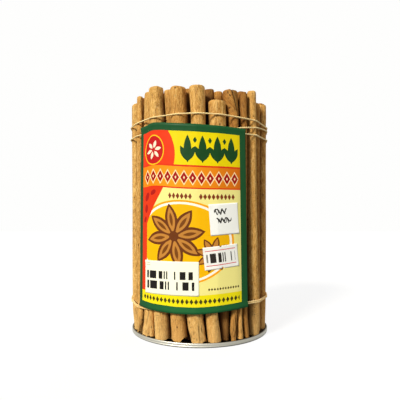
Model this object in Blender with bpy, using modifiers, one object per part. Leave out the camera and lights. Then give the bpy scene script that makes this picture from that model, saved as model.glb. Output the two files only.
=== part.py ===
"""A round bundle of cinnamon sticks standing in a shallow tin dish.

The sticks are tied with two windings of twine, near the top and near the foot, and a paper
label with three stickers is wrapped over the twine at the front. Lengths below are in
millimetres and angles in degrees, measured from the front (-Y) towards +X.
The origin is the middle of the dish's underside, +Z up.
"""

import math
import random

import bmesh
import bpy
from mathutils import Vector

MM = 0.001

# ---- driving dimensions -------------------------------------------------------------------
BUNDLE_RADIUS = 42.0  # out to the outermost stick faces
GAP = 0.3  # clearance between touching pieces

DISH_SHIFT = 0.5  # the dish stands this far off the bundle's axis, towards +X
DISH_RADIUS = 42.0
DISH_WALL = 1.0
DISH_FLOOR = 1.0
DISH_HEIGHT = 2.7

FOOT_RADIUS = DISH_RADIUS - DISH_WALL - GAP  # the stick feet pull in to stand inside the rim
KNEE_HEIGHT = 14.0  # where the sticks reach the full radius
STICK_SIDES = 3  # bevel_resolution of a stick: 4 + 2 * 3 = 10 sides

CORE_RADIUS = 38.0  # fills the inside of the bundle, behind the outer sticks
CORE_TOP = 127.0

TWINE_RADIUS = 0.4
TWINE_PATH_RADIUS = BUNDLE_RADIUS + GAP + TWINE_RADIUS + 0.1
TWINE_STEP = 9.0  # degrees between points on a winding

LABEL_THICKNESS = 0.25
LABEL_RADIUS = TWINE_PATH_RADIUS + TWINE_RADIUS + GAP  # the label's inner face
STICKER_THICKNESS = 0.2
STICKER_RADIUS = LABEL_RADIUS + LABEL_THICKNESS + 0.25

KNOT_HALF = (2.2, STICKER_RADIUS + STICKER_THICKNESS - TWINE_PATH_RADIUS)  # half width, half depth

# ---- the sticks that show at the front ----------------------------------------------------
# angle at the top, angle at the foot, centre radius at the top and at the foot,
# diameter at the top and at the foot, height of the top, height of the foot
FRONT_STICKS = (
    (-76.0, -77.0, 38.7, 37.4, 6.5, 6.4, 138.2, 1.6),
    (-61.5, -57.0, 39.9, 38.3, 3.9, 4.6, 140.0, 3.0),
    (-51.0, -47.5, 36.0, 36.5, 7.0, 6.2, 141.0, 2.6),
    (-39.3, -34.7, 37.7, 36.4, 8.4, 8.6, 141.4, 3.4),
    (-17.3, -17.4, 37.5, 36.5, 8.9, 8.5, 139.4, 3.0),
    (-1.4, -1.8, 37.6, 36.8, 8.7, 7.8, 139.5, 1.7),
    (15.2, 12.7, 37.3, 37.2, 9.4, 7.3, 131.9, 2.2),
    (28.6, 27.5, 36.4, 39.3, 7.6, 3.4, 138.8, 2.2),
    (34.0, 34.9, 39.4, 39.1, 3.1, 3.2, 108.0, 2.4),
    (38.9, 41.6, 39.3, 39.5, 4.5, 2.9, 138.4, 2.6),
    (49.2, 55.2, 39.6, 37.9, 4.8, 7.0, 140.3, 2.0),
    (64.5, 66.0, 36.3, 35.8, 6.6, 6.4, 136.8, 2.2),
    (76.5, 77.5, 39.2, 37.9, 5.6, 5.6, 137.6, 2.4),
)
SECOND_ROW_FRONT = (
    (-30.0, -27.0, 32.5, 31.5, 7.0, 7.0, 140.2, 1.8),
    (-11.5, -9.5, 30.1, 30.0, 7.0, 7.0, 140.2, 1.8),
    (11.4, 8.5, 29.0, 29.5, 6.0, 6.4, 140.6, 1.8),
    (20.9, 23.0, 30.5, 34.6, 5.2, 5.8, 139.4, 2.0),
    (36.8, 36.0, 31.5, 32.0, 4.0, 5.0, 140.6, 1.8),
    (45.2, 46.8, 34.6, 34.6, 5.6, 6.0, 140.6, 1.8),
    (57.2, 60.5, 35.9, 35.0, 5.2, 5.4, 140.8, 1.8),
    (62.0, 62.0, 28.0, 28.0, 6.8, 7.0, 135.0, 1.8),
)

# ---- the rows that are filled in round the back and inside --------------------------------
# first angle, last angle, centre radius, smallest and largest diameter, lowest and highest top
FILLED_ROWS = (
    (90.5, 270.5, 37.8, 6.4, 9.6, 133.0, 141.0),
    (78.0, 313.0, 29.2, 6.8, 8.6, 132.0, 141.0),
    (-170.0, 172.0, 20.9, 7.4, 8.8, 132.0, 140.0),
    (-160.0, 158.0, 12.6, 7.2, 8.4, 132.0, 139.0),
    (-120.0, 121.0, 4.5, 7.2, 7.8, 133.0, 138.0),
)
FILLED_SEED = 11
INNER_FOOT = 118.0  # a stick behind the core starts here, inside it

# ---- twine: (angle, height) points that each winding passes through ------------------------
UPPER_FIRST = ((20, 116.1), (28, 117.2), (42, 119.0), (69, 121.4), (80, 121.6), (180, 121.2),
               (230, 122.6), (280, 123.6), (330, 124.1), (360, 124.2), (400, 123.5),
               (440, 123.7), (540, 122.4))
UPPER_SECOND = ((180, 119.9), (230, 117.9), (280, 116.6), (305, 116.4), (360, 115.0),
                (396, 115.1), (429, 116.0), (540, 118.4))
UPPER_KNOT = (180, 120.4, 3.0)  # angle, height, half height
LOWER = ((-90, 19.4), (-69, 18.7), (-58, 18.2), (-45, 18.4), (-30, 19.3), (0, 20.8), (40, 21.7),
         (69, 21.2), (180, 19.6), (270, 19.4), (291, 18.7))
LOWER_PITCH = 1.1  # between its two turns
LOWER_KNOT = (180, 19.4, 1.9)

# ---- label and stickers -------------------------------------------------------------------
LABEL_LEFT = (-51.5, -49.5)  # angle of the left edge at the foot and at the top
LABEL_RIGHT = (38.4, 35.9)
# (angle, height) points that the top and bottom edges pass through
LABEL_TOP = ((-52, 119.7), (-44, 119.8), (-36, 120.75), (-28, 120.4), (-21, 119.6), (-6, 118.5),
             (8, 117.8), (22, 117.5), (39, 117.4))
LABEL_BOTTOM = ((-52, 19.7), (-38.5, 19.0), (-21, 18.5), (1, 18.5), (15, 19.2), (39, 20.4))
# name, middle angle, middle height, width, height, tilt
STICKERS = (
    ("sticker_wide", -21.8, 36.9, 32.8, 18.0, 0.0),
    ("sticker_square", 18.4, 68.4, 16.4, 16.6, 4.2),
    ("sticker_small", 15.9, 48.3, 20.0, 12.0, 6.2),
)


# ---- helpers ------------------------------------------------------------------------------
def ring_point(angle, radius, height, shift=0.0):
    """Point in metres at an angle from the front, on a circle moved along X by shift."""
    turn = math.radians(angle)
    place = (shift + radius * math.sin(turn), -radius * math.cos(turn), height)
    return Vector(place) * MM


def material(name, colour, roughness, metallic=0.0):
    made = bpy.data.materials.new(name)
    made.use_nodes = True
    shader = made.node_tree.nodes["Principled BSDF"]
    shader.inputs["Base Color"].default_value = (*colour, 1.0)
    shader.inputs["Roughness"].default_value = roughness
    shader.inputs["Metallic"].default_value = metallic
    return made


def collection(name):
    made = bpy.data.collections.new(name)
    bpy.context.scene.collection.children.link(made)
    return made


def add_mesh_object(name, mesh, target, look=None):
    made = bpy.data.objects.new(name, mesh)
    target.objects.link(made)
    if look:
        mesh.materials.clear()
        mesh.materials.append(look)
    return made


def tube(name, points, radii, resolution, target):
    """Closed tube mesh along points, with its own radius in mm at each point."""
    curve = bpy.data.curves.new(name, "CURVE")
    curve.dimensions = "3D"
    curve.bevel_depth = MM
    curve.bevel_resolution = resolution
    curve.use_fill_caps = True
    spline = curve.splines.new("POLY")
    spline.points.add(len(points) - 1)
    for spot, place, radius in zip(spline.points, points, radii):
        spot.co = (*place, 1.0)
        spot.radius = radius
    guide = bpy.data.objects.new(name + "_guide", curve)
    target.objects.link(guide)
    bpy.context.view_layer.update()
    evaluated = guide.evaluated_get(bpy.context.evaluated_depsgraph_get())
    mesh = bpy.data.meshes.new_from_object(evaluated)
    shape = bmesh.new()
    shape.from_mesh(mesh)
    bmesh.ops.remove_doubles(shape, verts=shape.verts, dist=0.00001)
    shape.to_mesh(mesh)
    shape.free()
    bpy.data.objects.remove(guide)
    return add_mesh_object(name, mesh, target)


def as_cutter(made):
    made.hide_render = True
    made.display_type = "WIRE"


def join_with(made, operands):
    """Unites an object with every object of a collection."""
    union = made.modifiers.new("united", "BOOLEAN")
    union.operation = "UNION"
    union.solver = "EXACT"
    union.operand_type = "COLLECTION"
    union.collection = operands


def smooth(made, angle=40.0):
    made.data.shade_smooth()
    made.data.set_sharp_from_angle(angle=math.radians(angle))


# ---- dish ---------------------------------------------------------------------------------
def arc(middle, radius, start, end, count):
    """Points of an arc in the profile's plane, as (distance from the axis, height)."""
    steps = (math.radians(start + (end - start) * i / (count - 1)) for i in range(count))
    return [(middle[0] + radius * math.cos(s), middle[1] + radius * math.sin(s)) for s in steps]


def make_dish(target, look):
    """Flat tin panel with a rolled rim, turned round its own axis."""
    half = DISH_WALL / 2
    outline = [(0.0, DISH_FLOOR), (DISH_RADIUS - DISH_WALL - 0.4, DISH_FLOOR)]
    outline.append((DISH_RADIUS - DISH_WALL, DISH_FLOOR + 0.4))
    outline += arc((DISH_RADIUS - half, DISH_HEIGHT - half), half, 180, 0, 5)
    outline += arc((DISH_RADIUS - 0.6, 0.6), 0.6, 0, -90, 3)
    outline.append((0.0, 0.0))
    shape = bmesh.new()
    rim = [shape.verts.new((r * MM, 0.0, h * MM)) for r, h in outline]
    for first, second in zip(rim, rim[1:]):
        shape.edges.new((first, second))
    mesh = bpy.data.meshes.new("tin_dish")
    shape.to_mesh(mesh)
    shape.free()
    dish = add_mesh_object("tin_dish", mesh, target, look)
    dish.location.x = DISH_SHIFT * MM
    turned = dish.modifiers.new("turned", "SCREW")
    turned.steps = 48
    turned.render_steps = 48
    turned.use_merge_vertices = True
    turned.merge_threshold = 0.00001
    return dish


# ---- sticks -------------------------------------------------------------------------------
def filled_row(first, last, radius, thin, thick, low, high, draw):
    """Sticks side by side along an arc, from random diameters stretched to fill it."""
    sizes = [draw.uniform(thin, thick)]
    angle = first
    angles = [angle]
    while True:
        size = draw.uniform(thin, thick)
        step = 2 * math.degrees(math.asin((sizes[-1] + size) / 4 / radius))
        if angle + step > last + step / 2:
            break
        angle += step
        sizes.append(size)
        angles.append(angle)
    stretch = (last - first) / (angle - first)
    row = []
    for angle, size in zip(angles, sizes):
        turned = first + (angle - first) * stretch
        row.append((turned, turned, radius, radius, size, size, draw.uniform(low, high), 1.8))
    return row


def outer_stick(name, stick, target):
    """A stick that leans from its foot inside the rim to its place in the bundle."""
    top_angle, foot_angle, top_radius, foot_radius, top_size, foot_size, top, foot = stick
    share = (KNEE_HEIGHT - foot) / (top - foot)
    knee_angle = foot_angle + (top_angle - foot_angle) * share
    knee_size = foot_size + (top_size - foot_size) * share
    pulled_in = min(foot_radius, FOOT_RADIUS - foot_size / 2)
    knee_radius = min(foot_radius + (top_radius - foot_radius) * share + 1.0,
                      BUNDLE_RADIUS - knee_size / 2)
    points = (
        ring_point(foot_angle, pulled_in, foot, DISH_SHIFT),
        ring_point(knee_angle, knee_radius, KNEE_HEIGHT),
        ring_point(top_angle, min(top_radius, BUNDLE_RADIUS - top_size / 2), top),
    )
    radii = (foot_size / 2, knee_size / 2, top_size / 2)
    as_cutter(tube(name, points, radii, STICK_SIDES, target))


def inner_stick(name, stick, target):
    """The upper end of a stick whose lower part is inside the core."""
    angle, _, radius, _, size, _, top, _ = stick
    points = (ring_point(angle, radius, INNER_FOOT), ring_point(angle, radius, top))
    as_cutter(tube(name, points, (size / 2, size / 2), STICK_SIDES, target))


def make_bundle(target, solids, look):
    """One solid out to the uneven outline of all the sticks."""
    draw = random.Random(FILLED_SEED)
    rows = [filled_row(*row, draw) for row in FILLED_ROWS]
    for i, stick in enumerate((*FRONT_STICKS, *rows[0])):
        outer_stick(f"outer_{i:02d}", stick, solids)
    inner = list(SECOND_ROW_FRONT)
    for row in rows[1:]:
        inner += row
    for i, stick in enumerate(inner):
        inner_stick(f"inner_{i:02d}", stick, solids)
    floor = DISH_FLOOR + GAP
    bpy.ops.mesh.primitive_cylinder_add(
        vertices=40,
        radius=CORE_RADIUS * MM,
        depth=(CORE_TOP - floor) * MM,
        location=(0, 0, (CORE_TOP + floor) / 2 * MM),
    )
    bundle = bpy.context.object
    bundle.name = "stick_bundle"
    bundle.data.materials.append(look)
    for holder in list(bundle.users_collection):
        holder.objects.unlink(bundle)
    target.objects.link(bundle)
    join_with(bundle, solids)
    return bundle


# ---- twine --------------------------------------------------------------------------------
def height_at(keys, angle):
    """Height on a smooth curve through (angle, height) points."""
    k = max(i for i in range(len(keys) - 1) if keys[i][0] <= angle or i == 0)
    before, after = keys[max(k - 1, 0)], keys[min(k + 2, len(keys) - 1)]
    (a0, h0), (a1, h1) = keys[k], keys[k + 1]
    slope0 = (h1 - before[1]) / (a1 - before[0]) * (a1 - a0)
    slope1 = (after[1] - h0) / (after[0] - a0) * (a1 - a0)
    t = min((angle - a0) / (a1 - a0), 1.0)
    return (
        (2 * t**3 - 3 * t**2 + 1) * h0
        + (t**3 - 2 * t**2 + t) * slope0
        + (3 * t**2 - 2 * t**3) * h1
        + (t**3 - t**2) * slope1
    )


def strand(name, start, end, height, target):
    """Twine laid round the bundle from one angle to another, at height(angle)."""
    count = round((end - start) / TWINE_STEP) + 1
    angles = [start + (end - start) * i / (count - 1) for i in range(count)]
    points = [ring_point(angle, TWINE_PATH_RADIUS, height(angle)) for angle in angles]
    return tube(name, points, [TWINE_RADIUS] * count, 2, target)


def knot(name, place, target):
    """The rounded lump of a tied knot."""
    angle, height, half_height = place
    shape = bmesh.new()
    bmesh.ops.create_uvsphere(shape, u_segments=12, v_segments=8, radius=MM)
    bmesh.ops.scale(shape, vec=(KNOT_HALF[0], KNOT_HALF[1], half_height), verts=shape.verts)
    mesh = bpy.data.meshes.new(name)
    shape.to_mesh(mesh)
    shape.free()
    made = add_mesh_object(name, mesh, target)
    made.location = ring_point(angle, TWINE_PATH_RADIUS, height)
    return made


def make_twine(target, solids_upper, solids_lower, look):
    def lower_height(angle):
        turns = (angle - 180) / 360
        return height_at(LOWER, (angle + 90) % 360 - 90) + LOWER_PITCH * (turns - 0.6)

    upper = strand("twine_upper", 20, 540, lambda a: height_at(UPPER_FIRST, a), target)
    second = strand("upper_second", 180, 540, lambda a: height_at(UPPER_SECOND, a), solids_upper)
    lower = strand("twine_lower", 180, 900, lower_height, target)
    cutters = (second, knot("upper_knot", UPPER_KNOT, solids_upper),
               knot("lower_knot", LOWER_KNOT, solids_lower))
    for made in cutters:
        as_cutter(made)
    for made, solids in ((upper, solids_upper), (lower, solids_lower)):
        made.data.materials.append(look)
        join_with(made, solids)
    return upper, lower


# ---- label and stickers -------------------------------------------------------------------
def curved_sheet(name, across, up, outline, radius, thickness, target, look):
    """A thin sheet bent round the bundle. outline(u, v) gives the angle and height of a point."""
    shape = bmesh.new()
    bmesh.ops.create_grid(shape, x_segments=across, y_segments=up, size=0.5)
    for vert in shape.verts:
        angle, height = outline(vert.co.x + 0.5, vert.co.y + 0.5)
        vert.co = ring_point(angle, radius, height)
    mesh = bpy.data.meshes.new(name)
    shape.to_mesh(mesh)
    shape.free()
    made = add_mesh_object(name, mesh, target, look)
    wall = made.modifiers.new("thickness", "SOLIDIFY")
    wall.thickness = thickness * MM
    wall.offset = 1.0
    return made


def label_outline(u, v):
    left = LABEL_LEFT[0] + (LABEL_LEFT[1] - LABEL_LEFT[0]) * v
    right = LABEL_RIGHT[0] + (LABEL_RIGHT[1] - LABEL_RIGHT[0]) * v
    angle = left + (right - left) * u
    top, bottom = height_at(LABEL_TOP, angle), height_at(LABEL_BOTTOM, angle)
    return angle, bottom + (top - bottom) * v


def sticker_outline(angle, height, width, tall, tilt):
    turn = math.radians(tilt)

    def outline(u, v):
        x = (u - 0.5) * width
        y = (v - 0.5) * tall
        along = x * math.cos(turn) - y * math.sin(turn)
        up = x * math.sin(turn) + y * math.cos(turn)
        return angle + math.degrees(along / STICKER_RADIUS), height + up

    return outline


def make_papers(target, label_look, sticker_look):
    made = [curved_sheet("label", 25, 6, label_outline, LABEL_RADIUS, LABEL_THICKNESS,
                         target, label_look)]
    for name, *place in STICKERS:
        made.append(curved_sheet(name, 9, 3, sticker_outline(*place), STICKER_RADIUS,
                                 STICKER_THICKNESS, target, sticker_look))
    return made


# ---- the whole object ---------------------------------------------------------------------
def main():
    for old in list(bpy.data.objects):
        bpy.data.objects.remove(old)
    bark = material("cinnamon_bark", (0.48, 0.25, 0.09), 0.75)
    tin = material("tinplate", (0.72, 0.71, 0.66), 0.3, 1.0)
    twine = material("natural_twine", (0.70, 0.52, 0.26), 0.85)
    print_paper = material("label_paper", (0.80, 0.62, 0.05), 0.4)
    sticker_paper = material("sticker_paper", (0.90, 0.89, 0.85), 0.6)

    whole = collection("cinnamon_stick_bundle")
    stick_solids = collection("stick_cutters")
    upper_solids = collection("upper_twine_cutters")
    lower_solids = collection("lower_twine_cutters")

    made = [make_dish(whole, tin), make_bundle(whole, stick_solids, bark)]
    made += make_twine(whole, upper_solids, lower_solids, twine)
    made += make_papers(whole, print_paper, sticker_paper)
    for part in made:
        smooth(part)


main()
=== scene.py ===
import math
import random

import bpy
import numpy as np
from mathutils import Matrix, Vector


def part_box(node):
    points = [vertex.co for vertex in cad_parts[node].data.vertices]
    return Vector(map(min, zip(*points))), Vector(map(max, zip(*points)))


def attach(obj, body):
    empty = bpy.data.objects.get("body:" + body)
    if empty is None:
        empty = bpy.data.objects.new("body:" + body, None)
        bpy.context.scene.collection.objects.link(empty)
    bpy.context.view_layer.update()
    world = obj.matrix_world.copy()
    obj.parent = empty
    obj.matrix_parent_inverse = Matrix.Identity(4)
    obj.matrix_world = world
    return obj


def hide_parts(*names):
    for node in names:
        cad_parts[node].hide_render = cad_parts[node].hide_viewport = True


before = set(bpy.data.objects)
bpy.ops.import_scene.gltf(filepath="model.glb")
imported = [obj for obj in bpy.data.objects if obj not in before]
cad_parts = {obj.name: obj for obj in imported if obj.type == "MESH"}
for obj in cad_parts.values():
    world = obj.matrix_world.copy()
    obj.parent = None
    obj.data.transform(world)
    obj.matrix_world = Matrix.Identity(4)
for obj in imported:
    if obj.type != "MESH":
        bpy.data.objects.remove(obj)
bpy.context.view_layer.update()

mm = 0.001


# shared tools

def hexColour(code):
    # sRGB hex to linear: value / 12.92 up to 0.04045, else ((value + 0.055) / 1.055) to the 2.4
    parts = [int(code[i:i + 2], 16) / 255 for i in (1, 3, 5)]
    return tuple(p / 12.92 if p <= 0.04045 else ((p + 0.055) / 1.055) ** 2.4 for p in parts) + (1,)


def addNode(tree, kind, inputs=(), stops=(), **settings):
    # inputs is a tuple in socket order or a dict by socket name or number; each value is a
    # node (its first output is linked), a socket, a hex colour, a constant, or a list of an
    # operation and its inputs, worked out by a Math node; stops are a ramp's (position, hex)
    node = tree.nodes.new("ShaderNode" + kind)
    for name, value in settings.items():
        setattr(node, name, value)
    pairs = inputs.items() if isinstance(inputs, dict) else enumerate(inputs)
    for key, value in pairs:
        if isinstance(value, list):
            value = addNode(tree, "Math", value[1:], operation=value[0])
        if isinstance(value, bpy.types.Node):
            value = value.outputs[0]
        if isinstance(value, bpy.types.NodeSocket):
            tree.links.new(value, node.inputs[key])
        else:
            node.inputs[key].default_value = hexColour(value) if isinstance(value, str) else value
    elements = node.color_ramp.elements if stops else ()
    while len(elements) < len(stops):
        elements.new(0.5)
    for element, (position, code) in zip(elements, stops):
        element.position = position
        element.color = hexColour(code)
    return node


def plug(tree, shader, **sources):
    # each node or socket into the shader's socket that it is named for
    for key, source in sources.items():
        socket = source.outputs[0] if isinstance(source, bpy.types.Node) else source
        tree.links.new(socket, shader.inputs[key.replace("_", " ")])


def newMaterial(name, **values):
    # a Principled material with constant sockets set by name
    material = bpy.data.materials.new(name)
    material.use_nodes = True
    shader = material.node_tree.nodes["Principled BSDF"]
    for key, value in values.items():
        shader.inputs[key.replace("_", " ")].default_value = value
    return material, material.node_tree, shader


def layUp(tree, colour, *layers):
    # colours laid one over another, each where its mask is 1: (mask, colour, how it blends)
    for mask, above, *blend in layers:
        colour = addNode(tree, "Mix", {0: mask, 6: colour, 7: above}, data_type="RGBA",
                         blend_type=blend[0] if blend else "MIX").outputs[2]
    return colour


def together(*parts):
    # arrays side by side along a new last axis, each stretched to the size of all
    return np.stack(np.broadcast_arrays(*parts), axis=-1)


def roundAxis(radius, angle, height):
    # points at a distance from the axis, an angle in radians and a height
    return together(radius * np.sin(angle), -radius * np.cos(angle), height)


def gridQuads(rows, columns, wrap):
    # corner numbers of the quads of a rows x columns grid, facing out when columns run
    # anticlockwise seen from the side that rows climb to
    i, j = np.meshgrid(np.arange(rows - 1), np.arange(columns - (0 if wrap else 1)), indexing="ij")
    k = (j + 1) % columns
    near, far = i * columns, (i + 1) * columns
    return together(near + j, near + k, far + k, far + j).reshape(-1, 4)


def tubeShape(rings):
    # rings is (rows, columns, 3); the first and last ring close on a pole at their middle
    rows, columns, _ = rings.shape
    poles = [rings[0].mean(axis=0), rings[-1].mean(axis=0)]
    points = np.concatenate([rings.reshape(-1, 3), poles])
    j = np.arange(columns)
    k, last, pole = (j + 1) % columns, (rows - 1) * columns, rows * columns
    ends = np.concatenate([together(pole, k, j), together(pole + 1, last + j, last + k)])
    return points, gridQuads(rows, columns, True), ends


def withPoles(rings, value):
    # a value for each of a tube's points in their order; a pole has its ring's
    value = np.broadcast_to(value, (*rings.shape[:2], *np.shape(value)[2:]))
    flat = value.reshape(-1, *value.shape[2:])
    return np.concatenate([flat, flat[:1], flat[-1:]])


def joinShapes(shapes):
    # several shapes as one, each (points, quads, triangles)
    counts = np.cumsum([0] + [len(points) for points, _, _ in shapes])
    points, quads, triangles = zip(*shapes)
    quads, triangles = ([block + count for block, count in zip(blocks, counts)]
                        for blocks in (quads, triangles))
    return np.concatenate(points), np.concatenate(quads), np.concatenate(triangles)


def meshPiece(name, shape, material, values=None, prints=None):
    # shape is points and one integer array for each face size; values are point attributes;
    # prints is a place in millimetres for each point, kept as a UV map at 1/100 scale
    points, *faceBlocks = shape
    mesh = bpy.data.meshes.new(name)
    corners = np.concatenate([block.ravel() for block in faceBlocks]).astype(np.int32)
    sizes = np.concatenate([np.full(len(block), block.shape[1]) for block in faceBlocks])
    starts = np.concatenate([[0], np.cumsum(sizes)[:-1]]).astype(np.int32)
    mesh.vertices.add(len(points))
    mesh.loops.add(len(corners))
    mesh.polygons.add(len(sizes))
    mesh.vertices.foreach_set("co", (points * mm).astype(np.float32).ravel())
    mesh.loops.foreach_set("vertex_index", corners)
    mesh.polygons.foreach_set("loop_start", starts)
    mesh.update(calc_edges=True)
    mesh.validate()
    for key, value in (values or {}).items():
        kind, slot = ("FLOAT_VECTOR", "vector") if value.ndim == 2 else ("FLOAT", "value")
        layer = mesh.attributes.new(key, kind, "POINT")
        layer.data.foreach_set(slot, value.astype(np.float32).ravel())
    if prints is not None:
        layer = mesh.uv_layers.new(name="print")
        layer.data.foreach_set("uv", (prints[corners] / 100).astype(np.float32).ravel())
    mesh.shade_smooth()
    mesh.set_sharp_from_angle(angle=math.radians(55))
    mesh.materials.append(material)
    piece = bpy.data.objects.new(name, mesh)
    bpy.context.scene.collection.objects.link(piece)
    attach(piece, "root")
    return piece


def waves(draw, count, around, along, size):
    # count random waves: whole turns around, cycles along, phase and amplitude
    return np.array([(draw.randint(*around), draw.uniform(*along), draw.uniform(0, 6.283),
                      draw.uniform(0.4, 1.0) * size) for _ in range(count)])


def relief(waveTable, angle, along):
    # sum of amplitude * sin(turns * angle + 2 pi cycles * along + phase)
    return sum(size * np.sin(turns * angle + 2 * np.pi * cycles * along + phase)
               for turns, cycles, phase, size in waveTable)


# camera, light and floor

studio = dict(
    distance=253.0, height=67.9, lens=36.0, shift=(0.00275, 0.05),
    # lights: side and climb they come from, power, spread, colour, and whether the tin and the
    # paper mirror them
    lights=dict(keyLight=(-37.0, 34.0, 4.15, 15.0, "#fffaf0", True),
                rightLight=(72.0, 20.0, 0.75, 30.0, "#ffffff", False),
                backLight=(150.0, 35.0, 1.3, 40.0, "#ffffff", False)),
    worldColour="#fefefd", worldLight=0.23,
    # what reflections gain, at a left and a right place; the room is dimmer to the right,
    # which shows as a darker half of the tin
    shineSides=(0.2, 0.9), shine=(0.42, 0.27),
    floorColour="#f2f2f2", floorGlow=0.8, floorSide=4000.0,
)


def makeStudio(s):
    place = bpy.context.scene.collection.objects.link
    camera = bpy.data.cameras.new("camera")
    camera.sensor_width = 36.0
    camera.lens = s["lens"]
    camera.shift_x, camera.shift_y = s["shift"]
    camera.clip_start = 0.01
    holder = bpy.data.objects.new("camera", camera)
    holder.location = (0, -s["distance"] * mm, s["height"] * mm)
    holder.rotation_euler = (math.pi / 2, 0, 0)
    place(holder)
    bpy.context.scene.camera = holder
    bpy.context.scene.view_settings.view_transform = "Standard"

    for name, (side, climb, power, spread, colour, mirrored) in s["lights"].items():
        light = bpy.data.lights.new(name, "SUN")
        light.energy = power
        light.angle = math.radians(spread)
        light.color = hexColour(colour)[:3]
        lamp = bpy.data.objects.new(name, light)
        lamp.rotation_euler = (math.radians(90 - climb), 0, math.radians(side))
        lamp.visible_glossy = mirrored
        place(lamp)

    # a white room that lights the bundle softly
    world = bpy.data.worlds.new("whiteRoom")
    world.use_nodes = True
    tree, background = world.node_tree, world.node_tree.nodes["Background"]
    path = addNode(tree, "LightPath")
    seen = addNode(tree, "MapRange", {0: path.outputs["Is Camera Ray"], 3: s["worldLight"], 4: 1.0})
    way = addNode(tree, "SeparateXYZ", (addNode(tree, "TexCoord").outputs["Generated"],))
    shine = addNode(tree, "MapRange", (way.outputs["X"], *s["shineSides"], *s["shine"]))
    strength = addNode(tree, "Math", (path.outputs["Is Glossy Ray"], shine, seen),
                       operation="MULTIPLY_ADD")
    plug(tree, background, Strength=strength)
    background.inputs["Color"].default_value = hexColour(s["worldColour"])
    bpy.context.scene.world = world

    # a lit white table: opal sheet that glows a little, so that shadows on it are faint
    colour = [c * (1 - s["floorGlow"]) for c in hexColour(s["floorColour"])[:3]] + [1]
    paint, _, _ = newMaterial("litOpalTable", Base_Color=colour, Roughness=0.9,
                              Emission_Color=(1, 1, 1, 1), Emission_Strength=s["floorGlow"])
    half = s["floorSide"] / 2 * mm
    mesh = bpy.data.meshes.new("floor")
    mesh.from_pydata([(-half, -half, 0), (half, -half, 0), (half, half, 0), (-half, half, 0)],
                     [], [(0, 1, 2, 3)])
    mesh.materials.append(paint)
    floor = bpy.data.objects.new("floor", mesh)
    floor.visible_diffuse = False  # it would fill the shadows between the sticks
    floor.visible_glossy = False
    place(floor)


makeStudio(studio)
print("camera, light and floor ready")


# where the sticks stand

def cadReach(node, axis, side):
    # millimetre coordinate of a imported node's box; side 0 is its low face, 1 its high one
    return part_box(node)[side][axis] / mm


dishLeft, dishRight = (cadReach("tin_dish", 0, side) for side in (0, 1))
dishShift, dishRadius = (dishLeft + dishRight) / 2, (dishRight - dishLeft) / 2
dishHeight = cadReach("tin_dish", 2, 1)

bundle = dict(
    radius=dishRadius,  # the sticks reach as far out as the dish
    footRadius=dishRadius - 1.2,
    kneeHeight=14.0,
    coreRadius=25.0, coreTop=119.0,  # a dark drum in the middle, its near black the painted shade of the bundle's deep inside
    flutes=20, fluteDepth=0.8, crumbSize=2.0, coreShade="#3a200c", coreDeepShade="#120802",
    innerFoot=112.0,
)
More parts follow.
